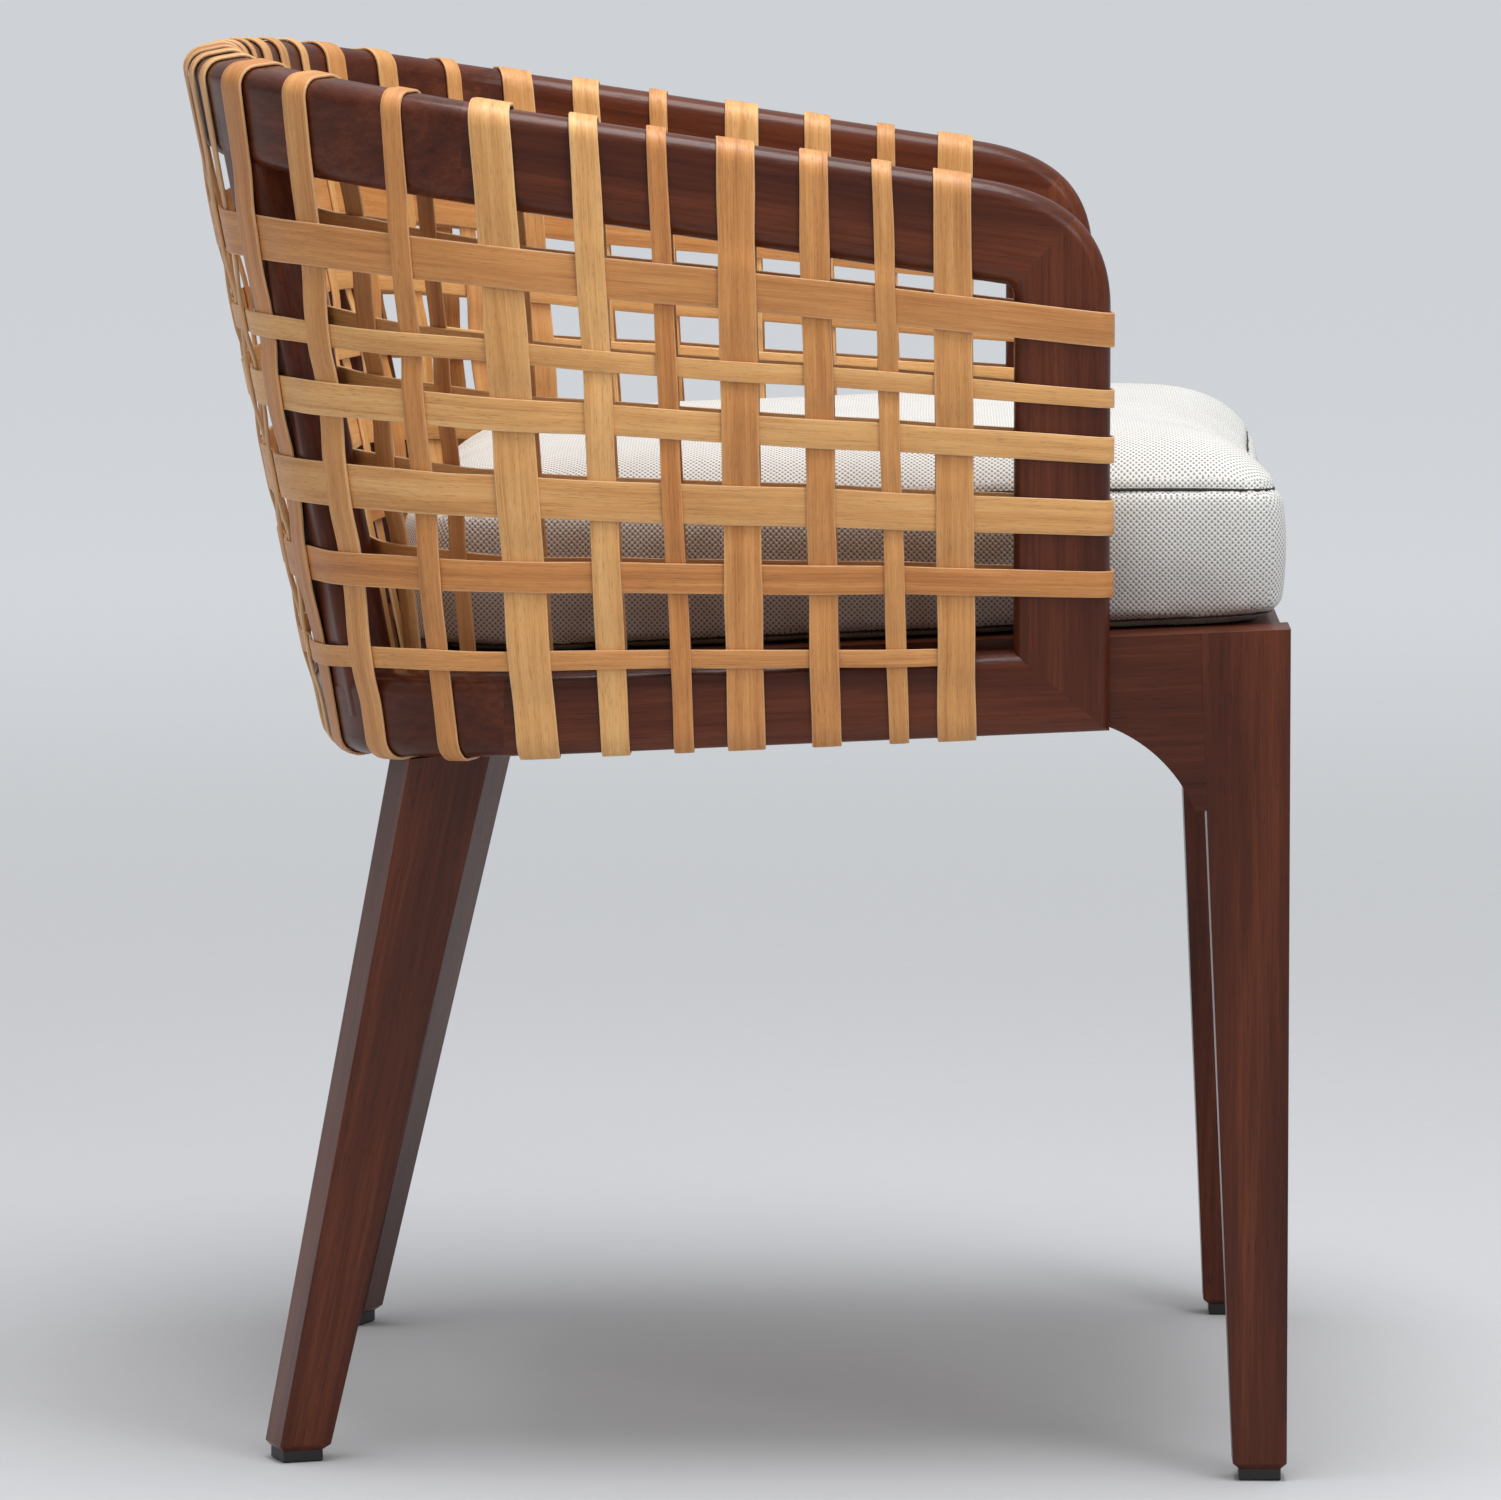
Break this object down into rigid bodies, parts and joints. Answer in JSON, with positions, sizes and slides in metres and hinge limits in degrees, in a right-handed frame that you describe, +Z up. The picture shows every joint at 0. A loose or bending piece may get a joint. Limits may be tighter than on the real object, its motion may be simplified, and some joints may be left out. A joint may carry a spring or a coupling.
{
  "type": "armchair",
  "caption": "Low barrel-back armchair: raked wooden legs and seat frame, a horseshoe basket of bent rails woven with flat splint straps, and a loose box cushion.",
  "frame": {"origin": "on the floor, under the middle of the chair's overall box", "axes": "+Z up, the sitter faces -Y, the sitter's right-hand side is -X"},
  "size_m": [0.62, 0.5745, 0.7167],
  "materials": {
    "lacquered_wood": "dark reddish-brown stain under semi-gloss lacquer",
    "splint": "natural open-grained splint, satin",
    "cushion_fabric": "coarse off-white basket weave with dark specks",
    "cushion_foam": "open-cell foam core",
    "glide_plastic": "dark moulded glide",
    "plain_wood": "unfinished hardwood",
    "plywood": "plain plywood",
    "screw_steel": "zinc plated",
    "washer_plastic": "moulded spacer"
  },
  "bodies": {
    "chair": {"arm_post_left": "lacquered_wood", "arm_post_right": "lacquered_wood", "arm_rail_left": "lacquered_wood", "arm_rail_right": "lacquered_wood", "back_seat_rail": "lacquered_wood", "basket_screws": "screw_steel", "corner_block_screws": "screw_steel", "corner_blocks": "plain_wood", "deck_screws": "screw_steel", "foot_glides": "glide_plastic", "frame_dowels": "plain_wood", "front_leg_left": "lacquered_wood", "front_leg_right": "lacquered_wood", "front_seat_rail": "lacquered_wood", "leg_bracket_left": "lacquered_wood", "leg_bracket_right": "lacquered_wood", "lower_rail_back": "lacquered_wood", "lower_side_rail_left": "lacquered_wood", "lower_side_rail_right": "lacquered_wood", "rear_leg_left": "lacquered_wood", "rear_leg_right": "lacquered_wood", "rear_post_left": "lacquered_wood", "rear_post_right": "lacquered_wood", "round_strap_1": "splint", "round_strap_2": "splint", "round_strap_3": "splint", "round_strap_4": "splint", "round_strap_5": "splint", "round_strap_6": "splint", "seat_deck": "plywood", "side_seat_rail_left": "lacquered_wood", "side_seat_rail_right": "lacquered_wood", "spacer_washers": "washer_plastic", "top_rail_back": "lacquered_wood", "upright_strap_01": "splint", "upright_strap_02": "splint", "upright_strap_03": "splint", "upright_strap_04": "splint", "upright_strap_05": "splint", "upright_strap_06": "splint", "upright_strap_07": "splint", "upright_strap_08": "splint", "upright_strap_09": "splint", "upright_strap_10": "splint", "upright_strap_11": "splint", "upright_strap_12": "splint", "upright_strap_13": "splint", "upright_strap_14": "splint", "upright_strap_15": "splint"},
    "cushion": {"cushion_cover": "cushion_fabric", "cushion_foam": "cushion_foam"}
  },
  "joints": [
    {"name": "cushion_lift", "type": "slide", "parent": "chair", "child": "cushion", "axis": [0, 0, 1], "range_m": [0, 0.3]}
  ]
}
